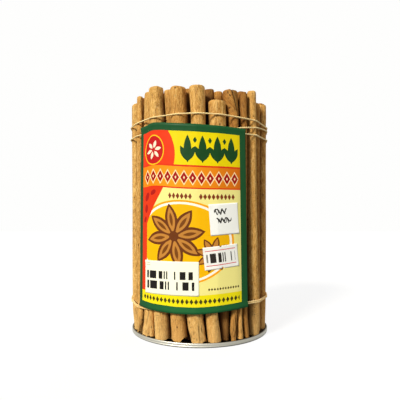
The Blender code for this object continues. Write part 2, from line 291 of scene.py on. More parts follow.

# One entry for each stick. keys are (height, angle, centre's distance from the axis, diameter)
# from the top down, and the foot's are about the dish's own middle. edge is where the bark's
# free edge runs, as (height, angle) pairs; marks are worm holes, cracks and scars: (angle,
# height, half width, half length, depth, lean from upright); bites are broken places at the
# foot: (angle, half width in degrees, height); the tone is how pale the bark is, 0 to 1, set
# lower as painted shade for sticks that lie in shadow; the last share is how far painted shade
# dims a stick where it lies deep.
plainStick = dict(edge=None, roll=1, rough=0.5, slant=0.0, tone=0.6, marks=(), bites=(),
                  chip=1.0, fold=1.0, recessShade=0.4)
frontSticks = [dict(plainStick, **own) for own in (
    dict(keys=((138.2, -76.0, 38.7, 6.5), (14.0, -76.7, 38.0, 6.4), (1.6, -77.0, 37.4, 6.4)),
         tone=0.95, slant=1.9,
         marks=((-24, 133.9, 0.3, 0.7, 0.25, 0), (-10, 60, 0.3, 1.0, 0.2, 10))),
    dict(keys=((139.9, -61.4, 39.2, 3.6), (126.0, -60.4, 39.4, 3.7), (70.0, -60.0, 39.6, 3.7),
               (12.0, -57.8, 39.6, 3.9), (9.0, -59.0, 39.6, 3.4), (1.5, -64.6, 39.3, 2.4)),
         tone=0.78, rough=0.8, bites=((10, 40, 1.2),)),
    dict(keys=((141.0, -70.0, 35.5, 4.2), (2.0, -70.0, 35.0, 4.2)), tone=0.1),
    dict(keys=((140.6, -50.2, 36.0, 7.0), (125.0, -50.5, 36.2, 7.0), (14.6, -47.2, 38.0, 5.8),
               (8.0, -48.8, 38.0, 6.1), (4.0, -50.4, 37.6, 7.2), (1.4, -51.0, 37.4, 7.6)),
         tone=0.88, rough=0.9, chip=1.6, bites=((-45, 22, 0.9), (10, 25, 0.7)),
         marks=((-8, 15.0, 0.25, 6.5, 0.35, 8), (-20, 4.6, 1.3, 0.25, 0.3, 65),
                (-38, 133.0, 0.3, 5.0, 0.12, 0), (2, 2.9, 0.5, 0.4, 0.4, 0))),
    dict(keys=((100.0, -41.5, 39.6, 2.9), (15.3, -41.2, 39.8, 2.8), (8.6, -42.0, 39.6, 2.6),
               (2.9, -42.6, 39.3, 2.8)),
         tone=0.8, rough=1.2, marks=((-8, 8.2, 0.6, 0.6, 0.45, 40),)),
    dict(keys=((141.4, -38.9, 38.0, 8.1), (134.0, -38.3, 37.8, 8.4), (122.6, -37.2, 37.3, 9.3),
               (60.0, -35.0, 37.3, 9.2), (16.4, -32.8, 37.6, 8.8), (2.0, -33.9, 36.3, 8.9)),
         tone=0.92, rough=0.6, slant=0.3, bites=((60, 40, 0.7),),
         marks=((46, 135.7, 0.35, 0.5, 0.3, 0), (-34, 15.9, 0.2, 1.7, 0.25, 80),
                (-22, 14.9, 0.2, 1.3, 0.2, 75), (-40, 13.6, 0.2, 1.7, 0.2, -6),
                (10, 130.5, 0.25, 1.8, 0.12, 60), (-8, 127.0, 0.3, 4.0, 0.1, 0))),
    dict(keys=((139.4, -17.5, 37.7, 8.7), (134.0, -17.2, 37.6, 8.9), (121.0, -16.1, 37.1, 9.8),
               (60.0, -16.6, 37.4, 9.2), (17.4, -17.3, 37.8, 8.3), (2.6, -16.9, 36.5, 8.5)),
         tone=0.66, rough=0.8, slant=-0.2, bites=((62, 42, 2.0), (20, 14, 0.5)),
         marks=((-18, 134.1, 0.3, 0.6, 0.3, 0), (-36, 127.4, 0.35, 0.35, 0.3, 0),
                (-24, 14.3, 0.14, 2.1, 0.2, 50), (5, 128.0, 0.3, 5.0, 0.1, 0))),
    dict(keys=((139.5, -1.4, 37.6, 8.8), (132.0, -0.9, 37.8, 8.4), (120.7, -0.2, 38.0, 8.0),
               (60.0, -1.8, 37.6, 8.8), (17.8, -3.1, 37.4, 9.3), (10.0, -2.3, 37.1, 8.8),
               (2.1, -0.4, 36.7, 8.1)),
         tone=0.85, rough=1.5, chip=1.2, bites=((50, 25, 0.6),),
         marks=((15, 7.6, 0.28, 5.2, 0.7, 6), (40, 9.3, 0.3, 2.2, 0.4, -5),
                (-50, 13.3, 0.45, 1.0, 0.4, 20), (-46, 10.7, 0.4, 0.5, 0.35, 0),
                (-58, 5.7, 0.3, 1.1, 0.4, 0), (-23, 8.2, 0.5, 0.5, 0.25, 0),
                (8, 138.2, 0.2, 1.3, 0.2, 0), (-14, 4.2, 0.3, 0.8, 0.3, 30),
                (28, 4.4, 0.4, 0.8, 0.35, -20), (-34, 4.8, 0.3, 0.5, 0.25, 60))),
    dict(keys=((131.9, 15.2, 37.3, 9.4), (121.0, 15.6, 37.3, 9.4), (60.0, 13.0, 38.0, 8.0),
               (17.6, 10.2, 38.7, 6.7), (2.2, 12.7, 37.2, 7.3)),
         tone=0.78, rough=0.45, chip=0.8, bites=((52, 26, 0.5),),
         marks=((-2, 127.0, 0.35, 2.6, 0.12, 4), (-30, 126.0, 0.3, 3.0, 0.08, 0),
                (26, 128.5, 0.25, 2.0, 0.1, 0))),
    dict(keys=((138.8, 28.6, 36.3, 8.5), (132.0, 28.9, 36.5, 8.3), (128.0, 30.0, 37.8, 6.5),
               (122.0, 29.8, 38.5, 5.9), (80.0, 29.0, 39.0, 5.0), (16.7, 28.1, 40.3, 3.3),
               (9.7, 27.1, 40.0, 3.5), (2.2, 27.5, 39.6, 2.5)),
         tone=0.3, rough=1.2, roll=-1, fold=1.7,
         edge=((1.0, 200), (60.0, 120), (112.0, 40), (120.0, 31), (126.0, 37), (127.5, 27),
               (131.0, 29), (134.0, 24.5), (135.3, 20), (138.8, 8.5)),
         marks=((-25, 137.4, 0.3, 0.9, 0.7, 0), (-19, 133.9, 0.4, 0.4, 0.7, 0),
                (-33, 128.9, 0.8, 0.3, 0.6, 0), (-12, 132.0, 0.2, 0.8, 0.2, 0),
                (12, 127.9, 1.1, 0.3, 0.4, 80), (-16, 126.6, 0.6, 0.25, 0.25, -30),
                (0, 8.0, 0.3, 2.6, 0.3, 14), (12, 12.0, 0.25, 1.6, 0.25, -10),
                (-4, 4.6, 0.3, 0.8, 0.3, 30), (50, 12.6, 0.35, 2.5, 0.6, -8),
                (52, 6.5, 0.3, 2.6, 0.6, 8))),
    dict(keys=((105.0, 34.2, 40.2, 2.6), (16.0, 33.9, 40.3, 2.4), (8.0, 34.0, 39.9, 2.8),
               (2.6, 34.7, 39.2, 3.4)),
         tone=0.65, rough=1.3, marks=((24, 6.8, 0.35, 0.4, 0.25, 0),)),
    dict(keys=((138.4, 38.9, 39.3, 4.5), (122.9, 38.5, 39.9, 3.8), (15.5, 39.5, 40.2, 2.6),
               (2.6, 41.6, 39.5, 2.8)),
         tone=0.12, rough=0.7, slant=-0.3, marks=((-4, 132.5, 0.2, 2.0, 0.1, 20),)),
    dict(keys=((140.3, 47.8, 40.2, 4.9), (124.2, 48.0, 40.2, 5.0), (79.0, 48.3, 39.9, 5.7),
               (40.0, 49.8, 39.6, 6.5), (14.0, 52.9, 39.1, 7.2), (2.0, 55.2, 37.4, 7.0)),
         tone=0.8, rough=0.35, marks=((-4, 70.0, 0.3, 14.0, 0.1, 0),)),
    dict(keys=((136.8, 64.5, 36.3, 6.4), (2.0, 66.0, 35.8, 6.4)), tone=0.3, slant=-1.0),
    dict(keys=((137.6, 76.5, 39.2, 5.6), (14.0, 77.2, 38.9, 5.6), (2.0, 77.5, 37.9, 5.6)),
         tone=0.66, rough=0.9, slant=-0.1),
)]
secondRowFront = [dict(plainStick, **own) for own in (
    dict(keys=((140.3, -30.0, 32.5, 7.0), (1.8, -27.0, 31.5, 7.0)), tone=0.75, slant=0.6,
         recessShade=0.1),
    dict(keys=((140.2, -11.5, 30.1, 7.0), (1.8, -9.5, 30.0, 7.0)), tone=0.35),
    dict(keys=((140.6, 11.4, 29.0, 6.0), (1.8, 8.5, 29.5, 6.4)), tone=0.0, recessShade=0.8,
         marks=((-8, 137.6, 0.4, 0.8, 0.3, 0), (10, 138.6, 0.3, 0.6, 0.3, 0))),
    dict(keys=((139.4, 20.9, 30.5, 5.2), (16.3, 22.9, 35.4, 6.2), (2.0, 23.0, 34.6, 5.8)),
         tone=0.42, recessShade=0.9, marks=((10, 10.6, 0.2, 2.0, 0.4, 88),)),
    dict(keys=((140.6, 36.8, 31.5, 4.0), (1.8, 36.0, 32.0, 5.0)), tone=0.2),
    dict(keys=((140.6, 45.2, 34.6, 5.6), (1.8, 46.8, 34.6, 6.0)), tone=0.15, recessShade=0.9),
    dict(keys=((140.8, 57.2, 35.9, 5.2), (1.8, 60.5, 35.0, 5.4)), tone=0.15, recessShade=0.9),
    dict(keys=((135.0, 62.0, 28.0, 6.6), (1.8, 62.0, 28.0, 7.0)), tone=0.4),
)]
# rows filled in round the back and inside: first and last angle, centre radius, smallest and
# largest diameter, lowest and highest top
filledRows = (
    (90.5, 270.5, 37.8, 6.4, 9.6, 133.0, 141.0),
    (78.0, 313.0, 29.2, 6.8, 8.6, 132.0, 141.0),
    (-170.0, 172.0, 20.9, 7.4, 8.8, 132.0, 140.0),
    (-160.0, 158.0, 12.6, 7.2, 8.4, 132.0, 139.0),
    (-120.0, 121.0, 4.5, 7.2, 7.8, 133.0, 138.0),
)


def filledRow(first, last, radius, thin, thick, low, high, draw):
    # sticks side by side along an arc: random diameters, then stretched to fill it
    sizes, angles = [draw.uniform(thin, thick)], [first]
    while True:
        size = draw.uniform(thin, thick)
        step = 2 * math.degrees(math.asin((sizes[-1] + size) / 4 / radius))
        if angles[-1] + step > last + step / 2:
            break
        angles.append(angles[-1] + step)
        sizes.append(size)
    stretch = (last - first) / (angles[-1] - first)
    turned = [first + (a - first) * stretch for a in angles]
    tops = [draw.uniform(low, high) for _ in sizes]
    return list(zip(turned, sizes, tops, [radius] * len(sizes)))


def fillRows(rows, seed):
    # every filled stick with a lean, free edge, cracks and broken foot of its own
    draw = random.Random(seed)
    filled = [filledRow(*row, draw) for row in rows]
    own = random.Random(seed + 1)
    built = []
    for row in filled:
        sticks = []
        for angle, size, top, radius in row:
            lean, taper = own.uniform(-0.8, 0.8), own.uniform(-0.35, 0.35)
            foot = min(radius, bundle["footRadius"] - size / 2)
            knee = min(radius + 0.4, bundle["radius"] - size / 2)
            keys = ((top, angle + lean, min(radius, knee), size + taper),
                    (bundle["kneeHeight"], angle, knee, size - taper),
                    (1.8, angle, foot, size - taper))
            marks = [(angle + own.uniform(-70, 70), own.uniform(4, top - 2), own.uniform(0.2, 0.4),
                      own.uniform(0.3, 1.2), own.uniform(0.2, 0.5), own.uniform(-20, 20))
                     for _ in range(own.randint(2, 6))]
            marks += [(angle + own.uniform(-60, 60), own.choice((6, 20, 60, 100, top - 8)), 0.2,
                       own.uniform(3, 8), 0.3, own.uniform(-6, 6))]
            bites = [(angle + own.uniform(-90, 90), own.uniform(15, 45), own.uniform(0.3, 2.0))]
            sticks.append(dict(plainStick, keys=keys, marks=marks, bites=bites,
                               edge=((0, angle + own.uniform(-180, 180)),
                                     (141, angle + own.uniform(-180, 180))),
                               roll=own.choice((-1, 1)), rough=own.uniform(0.4, 1.3),
                               slant=own.uniform(-0.6, 0.6), tone=own.uniform(0.2, 1.0)))
        built.append(sticks)
    return built


def stickPlace(stick, height):
    # centre X and Y and radius at heights, in straight runs between the keys with the bends
    # eased over 4 mm; the foot's keys are about the dish's middle
    z, angle, reach, size = np.array(stick["keys"], float)[::-1].T
    turn = np.radians(angle)
    shift = dishShift * np.clip((bundle["kneeHeight"] - z) / 12, 0, 1)
    columns = (shift + reach * np.sin(turn), -reach * np.cos(turn), size / 2)
    return [sum(np.interp(height + step, z, column) for step in (-2, 0, 2)) / 3
            for column in columns]


def hullRadius(sticks, height, angles, proud):
    # distance from the axis of a line pulled tight round the sticks at a height, proud of them:
    # the least over all directions of (how far the sticks reach that way + proud) / cosine
    standing = [stickPlace(stick, height) for stick in sticks if stick["keys"][0][0] > height]
    x, y, radius = np.array(standing).T
    turn = np.radians(np.arange(0, 360, 0.5))
    reach = x[:, None] * np.sin(turn) - y[:, None] * np.cos(turn) + radius[:, None]
    reach = reach.max(axis=0) + proud
    slope = np.cos(np.radians(angles)[:, None] - turn[None, :])
    return np.where(slope > 0.5, reach / np.maximum(slope, 0.5), 1e6).min(axis=1)


# cinnamon bark

bark = dict(
    dark="#936933", mid="#c08e46", light="#d9aa5b", pale="#f2cd84",
    # some of these are painted light and shade: the near black of the ends' gaps and hollows, the
    # brown where sticks lie deep, the crack colour also under a lifted edge, and the pale gold
    # towards the foot
    vein="#f3d592", pit="#4a2a0e", crackAndShade="#341906", cut="#b98447", hollow="#180b04",
    lowTone="#a58c6a", midTone="#e4ceae", recessShade="#5e4022", footLightColour="#f0c680",
    # patterns: width and length in millimetres, detail, roughness and distortion; the real
    # fibres are finer than these, which are drawn as coarse as they show
    patterns=dict(fibres=(0.42, 3.0, 3.0, 0.6, 0.0), streaks=(1.5, 26.0, 3.0, 0.5, 0.3),
                  mottle=(2.6, 6.24, 5.0, 0.65, 0.5), grain=(0.55, 0.88, 2.0, 0.5, 0.0),
                  splits=(0.6, 5.0, 2.0, 0.5, 0.2), veins=(3.6, 10.8, 2.0, 0.5, 1.6)),
    speckGap=(2.6, 4.42), speckRarity=0.7,
    # where on its pattern each mark begins and ends, and its strength at the two
    shadeRange=(0.98, 1.45, 0.0, 1.0), footRange=(0.0, 24.0, 0.6, 0.0),
    splitRange=(0.36, 0.28, 0.0, 0.5), veinRange=(0.0, 0.02, 0.4, 0.0),
    speckRange=(0.08, 0.16, 1.0, 0.0),
    bumpDepth=0.2,
)


def makeBark(b):
    # true cinnamon bark, scraped and rolled by hand, then dried: a matt tan skin with fine
    # fibres along the stick, pale wandering veins and a few dark specks and leaf scars
    material, tree, shader = newMaterial("handRolledDriedBark", Roughness=0.8, IOR=1.45,
                                         Specular_IOR_Level=0.3)
    place = addNode(tree, "Attribute", attribute_name="barkPlace").outputs["Vector"]
    tone, endShare, hollow, scar, flank = (
        addNode(tree, "Attribute", attribute_name=name).outputs["Fac"]
        for name in ("tone", "endShare", "hollow", "scar", "flank"))

    def stretched(width, length):
        return addNode(tree, "Mapping", {"Vector": place, "Scale": (1 / width, 1 / length, 1)})

    def summed(total, *parts):
        # total + share * part for each (part, share)
        for part, share in parts:
            total = addNode(tree, "Math", (part, share, total), operation="MULTIPLY_ADD")
        return total

    pattern = {}
    for name, (width, length, detail, rough, warp) in b["patterns"].items():
        pattern[name] = addNode(tree, "TexNoise", {
            "Vector": stretched(width, length), "Scale": 1.0, "Detail": detail,
            "Roughness": rough, "Distortion": warp})
    shade = summed(pattern["fibres"], (pattern["streaks"], 0.5), (pattern["mottle"], 0.5),
                   (pattern["grain"], 0.45))
    spread = addNode(tree, "MapRange", (shade, *b["shadeRange"]))
    skin = addNode(tree, "ValToRGB", (spread,), stops=(
        (0.0, b["dark"]), (0.3, b["mid"]), (0.62, b["light"]), (1.0, b["pale"])))
    # paler towards the foot: painted light, standing for light bounced up from the pale floor
    height = addNode(tree, "SeparateXYZ", (place,)).outputs["Y"]
    footLight = addNode(tree, "MapRange", (height, *b["footRange"]))
    # short thin cracks: the low ends of a noise drawn out along the stick
    split = addNode(tree, "MapRange", (pattern["splits"], *b["splitRange"]))
    # veins are where a slow wandering noise crosses its middle
    distance = ["ABSOLUTE", ["SUBTRACT", pattern["veins"], 0.5]]
    vein = addNode(tree, "MapRange", (distance, *b["veinRange"]))
    # specks: the hearts of a few cells of a stretched cell pattern
    cells = addNode(tree, "TexVoronoi", {"Vector": stretched(*b["speckGap"]), "Scale": 1.0})
    heart = addNode(tree, "MapRange", (cells.outputs["Distance"], *b["speckRange"]))
    chance = addNode(tree, "SeparateColor", (cells.outputs["Color"],))
    rare = ["GREATER_THAN", chance, b["speckRarity"]]
    pit = addNode(tree, "Math", (heart, rare), operation="MULTIPLY")
    tint = addNode(tree, "ValToRGB", (tone,), stops=(
        (0.0, b["lowTone"]), (0.5, b["midTone"]), (1.0, "#ffffff")))
    cut = layUp(tree, b["cut"], (pattern["fibres"], b["light"]))
    # painted shade: darker where a stick lies deep and turns in towards its neighbours
    colour = layUp(tree, skin, (footLight, b["footLightColour"]), (split, b["pit"]), (vein, b["vein"]),
                   (pit, b["pit"]), (scar, b["crackAndShade"]), (1.0, tint, "MULTIPLY"),
                   (flank, b["recessShade"], "MULTIPLY"), (endShare, cut), (hollow, b["hollow"]))
    # fibres, streaks and veins stand up a little, cracks and specks sink
    raised = summed(shade, (vein, 0.25), (split, -0.5), (pit, -0.9))
    bump = addNode(tree, "Bump", {"Strength": 0.8, "Distance": b["bumpDepth"] * mm,
                                  "Height": raised})
    plug(tree, shader, Base_Color=colour, Normal=bump)
    return material


barkMaterial = makeBark(bark)
print("bark material ready")


# the rolled sticks

quill = dict(
    sheet=0.5,  # thickness of the outer sheet, the step at its free edge
    edgeWorn=0.1, edgeWornWidth=0.35,  # how far the free edge is worn down
    groove=0.3, grooveWidth=0.45,  # extra depth under the free edge
    creviceShade=0.75, creviceWidth=0.42,  # how dark the painted shade is down there
    rollPitch=1.05,  # from one turn of the roll to the next, seen at the cut end
    gapPlace=0.82, gapWidth=0.2,  # where in a turn the gap lies, in shares of the pitch
    gapDepth=1.3,  # how far the gaps between turns go in at the cut end
    heartSizes=(0.0, 0.12, 0.2, 0.34), heartDepth=5.0,  # the hole up the middle
    rimRound=0.28, rimHeight=0.5,  # how far the rim of the cut end is worn in
    footWall=0.7, footHollow=4.0,
    # how far down the cut end's unevenness reaches, and how far up the foot's teeth and knobs
    tornReach=6.0, teethReach=7.0, knobReach=26.0,
    # where the painted shade between the sticks starts and is full, and how far down from the top
    # it is clear
    clearDepth=2.0, darkDepth=3.2, clearTop=8.0,
    # waves: how many, whole turns round, cycles along and size; those of broad and ridges are
    # shares of the radius
    bend=(2, (0, 0), (0.4, 1.4), 0.12), wander=(3, (0, 0), (0.5, 2.5), 0.12),
    broad=(3, (2, 3), (0.0, 0.9), 0.020), ridges=(9, (5, 19), (0.0, 1.2), 0.0055),
    lumps=(8, (1, 7), (5.0, 16.0), 0.016), knobs=(6, (2, 6), (9.0, 24.0), 0.085),
    torn=(5, (1, 5), (0.0, 0.1), 0.06), frayed=(5, (7, 16), (0.0, 0.1), 0.02),
    teeth=(7, (4, 17), (0.0, 0.1), 0.10),
    # columns round, rows up the side and across the end, and the share of side rows that lie
    # in the lowest and highest 22 mm
    front=dict(columns=56, side=84, end=22, dense=0.4),
    back=dict(columns=46, side=60, end=22, dense=0.24),
    second=dict(columns=36, side=40, end=18, dense=0.3),
    inner=dict(columns=40, side=9, end=20, dense=0.2),
)


def quillShape(stick, detail, draw, foot=None):
    # A closed surface of two parameters: u runs once round from the bark's free edge, and the
    # rows run from inside the hollow foot, up the side and across the cut end to its middle.
    # radius = stick radius + sheet * (1/2 - u) + waves, less a groove under the free edge and
    # a dent for every mark: depth * exp(-(across / half width)^2 - (along / half length)^2).
    q = quill
    whole = foot is None
    top, low = stick["keys"][0][0], stick["keys"][-1][0] if whole else foot
    columns, side, end = detail["columns"], detail["side"], detail["end"]
    u = np.concatenate([[0, 0.008, 0.02], np.linspace(0.04, 0.96, columns - 6),
                        [0.98, 0.992, 1]])[None, :]

    def rowValues(inside, upSide, acrossEnd):
        # three rows in the hollow foot, then those up the side and those across the cut end
        parts = (inside, np.broadcast_to(upSide, side), np.broadcast_to(acrossEnd, end))
        return np.concatenate(parts).astype(float)[:, None]

    # height up the side, share of the radius, and depth of the foot's hollow
    shares = (0, detail["dense"], 1 - detail["dense"], 1)
    spots = (low, low + 22, top - 22, top) if whole else (low, low + 4, top - 8, top)
    z = rowValues([low] * 3, np.interp(np.linspace(0, 1, side), shares, spots), top)
    footSize, topSize = stick["keys"][-1][3] / 2, stick["keys"][0][3] / 2
    wall = min(q["footWall"], 0.4 * footSize)
    inward = rowValues([0.3, 1 - 1.3 * wall / footSize, 1 - wall / footSize], 1,
                       np.linspace(1, 0.05, end + 1)[1:])
    sunk = rowValues([q["footHollow"], q["footHollow"], 0.1], 0, 0)
    inFoot, isTop = rowValues([1, 1, 0.5], 0, 0), rowValues([0, 0, 0], 0, 1)
    isEnd = isTop + (inFoot > 0)
    centreX, centreY, radius = stickPlace(stick, z)
    share, up = z / 140, (z - low) / (top - low)

    # a slow bend, and the free edge wandering round the stick
    bend = waves(draw, *q["bend"])
    centreX = centreX + relief(bend, 0.0, share) * np.sin(np.pi * up)
    centreY = centreY + relief(bend, 1.0, share + 0.3) * np.sin(np.pi * up)
    edge = stick["edge"] or ((0, stick["keys"][0][1] + 180),)
    edgeHeight, edgeAngle = np.array(edge, float).T
    wander = relief(waves(draw, *q["wander"]), 0.0, share)
    turned = np.radians(np.interp(z, edgeHeight, edgeAngle)) + wander + 2 * np.pi * u

    def uneven(*names):
        return [relief(waves(draw, *q[name]), turned, share) for name in names]

    broad, ridges, lumps, knobs = uneven("broad", "ridges", "lumps", "knobs")
    nearFoot = np.exp(-((z - low) / q["knobReach"]) ** 2)
    shape = (broad + ridges) * topSize + lumps * stick["rough"]
    shape = shape + knobs * nearFoot * max(stick["rough"] - 0.7, 0)
    toEdge = 2 * np.pi * radius * u  # millimetres from the free edge, on top of it
    fromEdge = 2 * np.pi * radius * (1 - u)  # and underneath
    if stick["roll"] < 0:
        toEdge, fromEdge = fromEdge, toEdge
    step = q["sheet"] * stick["fold"] * min(1, topSize / 3) * stick["roll"]
    groove = np.exp(-(fromEdge / (q["grooveWidth"] * stick["fold"])) ** 2)
    groove = groove * q["groove"] * stick["fold"] + q["edgeWorn"] * np.exp(
        -toEdge / q["edgeWornWidth"])
    onSide = radius + shape + step * (0.5 - u) - groove
    dents, scarsAndShade = np.zeros(onSide.shape), np.zeros(onSide.shape)
    for angle, height, halfWide, halfLong, depth, lean in stick["marks"]:
        away = (turned - math.radians(angle) + np.pi) % (2 * np.pi) - np.pi
        across, along = away * radius, z - height
        c, w = math.cos(math.radians(lean)), math.sin(math.radians(lean))
        wide, long = (across * c - along * w) / halfWide, (along * c + across * w) / halfLong
        mark = np.exp(-(wide ** 2 + long ** 2))
        dents += depth * mark
        scarsAndShade = np.maximum(scarsAndShade, mark * min(1, 0.2 + 1.4 * depth))
    if stick["fold"] > 1:  # painted shade: the sheet under a lifted edge lies in its shadow
        scarsAndShade = np.maximum(scarsAndShade, 0.4 * np.exp(-fromEdge / 2.5))
    scarsAndShade = scarsAndShade * (1 - isEnd)
    worn = q["rimRound"] * np.exp((z - top) / q["rimHeight"])
    onSide = onSide - dents * (1 - isEnd) - worn
    across = onSide * inward

    # the cut end: turns of the roll stand up between sunk gaps, one turn deeper each time round
    turns = max(2.0, topSize / q["rollPitch"])
    phase = ((1 - inward) * turns + stick["roll"] * u + 0.06 * np.sin(3 * turned)) % 1.0
    gap = np.clip(1 - np.abs(phase - q["gapPlace"]) / q["gapWidth"], 0, 1) * isTop
    gap = gap * (inward < 0.97)
    heartSize = draw.choice(q["heartSizes"])
    heart = isTop * (heartSize > 0) / (1 + np.exp((inward - heartSize) / 0.03))
    torn, frayed = uneven("torn", "frayed")
    drop = gap * q["gapDepth"] + heart * q["heartDepth"]
    crown = (1 - inward ** 2) * draw.uniform(-0.4, 0.3)
    atTop = np.clip(1 + (z - top) / q["tornReach"], 0, 1) ** 3
    slope = stick["slant"] * np.sin(turned) * across / (2 * topSize)

    # the foot is broken off: small teeth, and the bites
    teeth = np.abs(uneven("teeth")[0])
    for angle, halfWide, height in stick["bites"]:
        away = (np.degrees(turned) - angle + 180) % 360 - 180
        teeth = teeth + height * np.exp(-(away / halfWide) ** 4)
    atFoot = np.clip(1 - (z - low) / q["teethReach"], 0, 1) ** 2 * whole * (inFoot < 1)
    height = z + sunk + atTop * (torn + frayed + slope + crown - drop)
    height = height + atFoot * teeth * stick["chip"]
    rings = roundAxis(across, turned, height)
    rings += together(centreX, centreY, 0)

    # bark places in millimetres: round and along on the side, flat across the ends, each stick
    # in a part of the pattern of its own
    offset = draw.uniform(0, 900)
    placeX = np.where(isEnd > 0, across * np.cos(turned), radius * 2 * np.pi * u) + offset
    placeY = np.where(isEnd > 0, across * np.sin(turned) + 300, z)
    place = together(placeX, placeY, offset)
    # painted shade in the crevice under the free edge
    creviceShade = np.exp(-(fromEdge / (q["creviceWidth"] * stick["fold"] ** 2)) ** 2) * (1 - isEnd)
    creviceShade = creviceShade * min(1, q["creviceShade"] * stick["fold"])
    # painted shade by how deep the bark lies between the sticks, and none near the top, which
    # stands clear
    reach = np.hypot(rings[..., 0], rings[..., 1])
    deep = np.hypot(centreX, centreY) + radius - reach - q["clearDepth"]
    recess = bundle["radius"] - reach - q["clearDepth"]
    flank = np.clip(np.maximum(deep, recess * stick["recessShade"]) / q["darkDepth"], 0, 1)
    flank = flank * np.clip((top - z - 1) / q["clearTop"], 0, 1) * (1 - isEnd)
    # painted shade, near black: the gaps and middle hole of the cut end, the hollow foot and the
    # crevice
    dark = np.clip(np.maximum(gap * 0.75, heart) + inFoot + creviceShade, 0, 1)
    values = dict(barkPlace=place, endShare=isTop * 0.8, hollow=dark, scar=scarsAndShade, flank=flank,
                  tone=stick["tone"])
    return tubeShape(rings), {name: withPoles(rings, value) for name, value in values.items()}


def makeQuills(name, sticks, detail, seed, foot=None):
    draw = random.Random(seed)
    shapes, values = zip(*(quillShape(stick, detail, draw, foot) for stick in sticks))
    joined = {key: np.concatenate([own[key] for own in values]) for key in values[0]}
    piece = meshPiece(name, joinShapes(shapes), barkMaterial, joined)
    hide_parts("stick_bundle")


backRow, secondRow, *innerRows = fillRows(filledRows, 11)
makeQuills("quillsFront", frontSticks, quill["front"], 21)
makeQuills("quillsBack", backRow, quill["back"], 22)
makeQuills("quillsSecondRow", (*secondRowFront, *secondRow), quill["second"], 23)
makeQuills("quillsInside", [s for row in innerRows for s in row], quill["inner"], 24,
           bundle["innerFoot"])
print("cinnamon sticks ready")


def makeCore(b):
    # a dark fluted drum behind the sticks, near black as painted shade of the bundle's deep inside:
    # radius + waves round the axis
    material, tree, shader = newMaterial("darkCoreShade", Roughness=0.95, IOR=1.45)
    place = addNode(tree, "TexCoord").outputs["Object"]
    grain = addNode(tree, "TexNoise", {"Vector": place, "Scale": 1 / (b["crumbSize"] * mm),
                                       "Detail": 4.0})
    colour = addNode(tree, "ValToRGB", (grain,), stops=((0.3, b["coreDeepShade"]), (0.7, b["coreShade"])))
    plug(tree, shader, Base_Color=colour)
    angle = np.radians(np.arange(0, 360, 4))[None, :]
    low = cadReach("stick_bundle", 2, 0)
    rows = np.array([(0.5, low), (1, low), (1, b["coreTop"]), (0.5, b["coreTop"])])
    radius = rows[:, :1] * (b["coreRadius"] + b["fluteDepth"] * np.sin(b["flutes"] * angle))
    piece = meshPiece("bundleCore", tubeShape(roundAxis(radius, angle, rows[:, 1:])), material)
    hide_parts("stick_bundle")


makeCore(bundle)


# the tin dish

dish = dict(
    wall=1.0, floor=0.9, seamHeight=0.46, columns=240,
    colour="#e6e3d4", roughness=0.42, lineGap=0.5,
    # painted shade, in shares: on the floor, round the rim and over what height, along
    # the seam and over what height, and how high it lies over the foot, left and further right;
    # it darkens the floor between the sticks' feet, the rolled edge's highlight, the seam line and
    # the foot's contact line, and more on the right side, which lies in shade
    grime="#4a463b", dishFloorShade=0.85, rimShade=(0.7, 0.35), seamShade=(0.12, 0.2),
    footShade=(0.4, 0.12),
)


def arcPoints(middle, radius, start, end, count):
    # (distance from the axis, height) along an arc
    turn = np.radians(np.linspace(start, end, count))
    return together(middle[0] + radius * np.cos(turn), middle[1] + radius * np.sin(turn))


def alongPath(points):
    # distance from the first point to each, as a column
    steps = np.linalg.norm(np.diff(points, axis=0), axis=1)
    return np.concatenate([[0], np.cumsum(steps)])[:, None]


